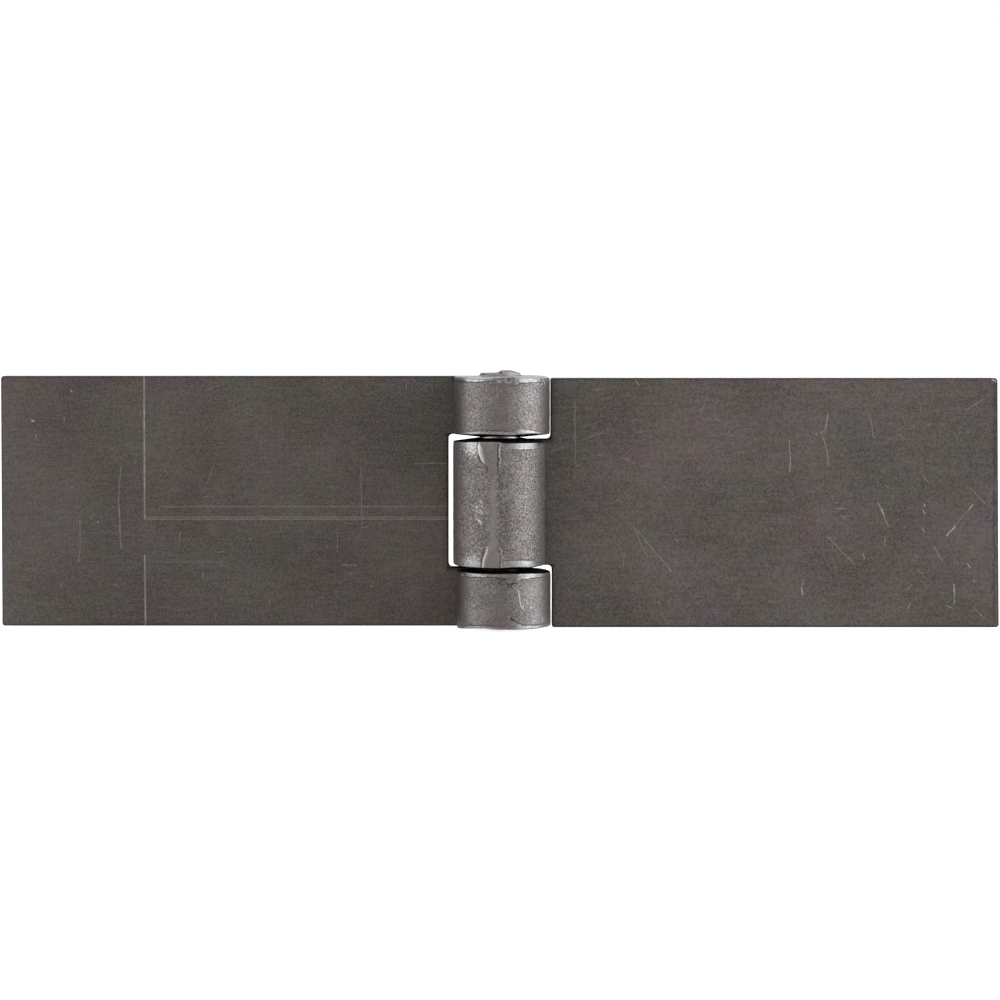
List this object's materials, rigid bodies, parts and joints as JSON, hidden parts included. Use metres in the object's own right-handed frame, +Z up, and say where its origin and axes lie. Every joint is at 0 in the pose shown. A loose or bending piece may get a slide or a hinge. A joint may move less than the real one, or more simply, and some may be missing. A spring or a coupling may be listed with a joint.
{
  "type": "door hinge",
  "caption": "Flat weld-on door hinge: rolled steel plate leaves with interlocking knuckles that swing on a plain cropped pin.",
  "frame": {"origin": "on the pin's axis, at the hinge's mid-height", "axes": "+Z up along the pin, +X towards the swing leaf, +Y out of the flat backs of the leaves, so the knuckles face -Y"},
  "size_m": [0.24, 0.0222, 0.0618],
  "materials": {
    "rolled_plate": "bare hot-rolled plate, dark grey-brown, burnished on the knuckles",
    "pin_bar": "bare drawn bar with cropped ends"
  },
  "bodies": {
    "fixed_side": {"fixed_leaf": "rolled_plate"},
    "swing_side": {"swing_leaf": "rolled_plate", "hinge_pin": "pin_bar"}
  },
  "joints": [
    {"name": "swing", "type": "hinge", "parent": "fixed_side", "child": "swing_side", "pos_m": [0, 0, 0], "axis": [0, 0, -1], "range_deg": [-90, 180]}
  ]
}
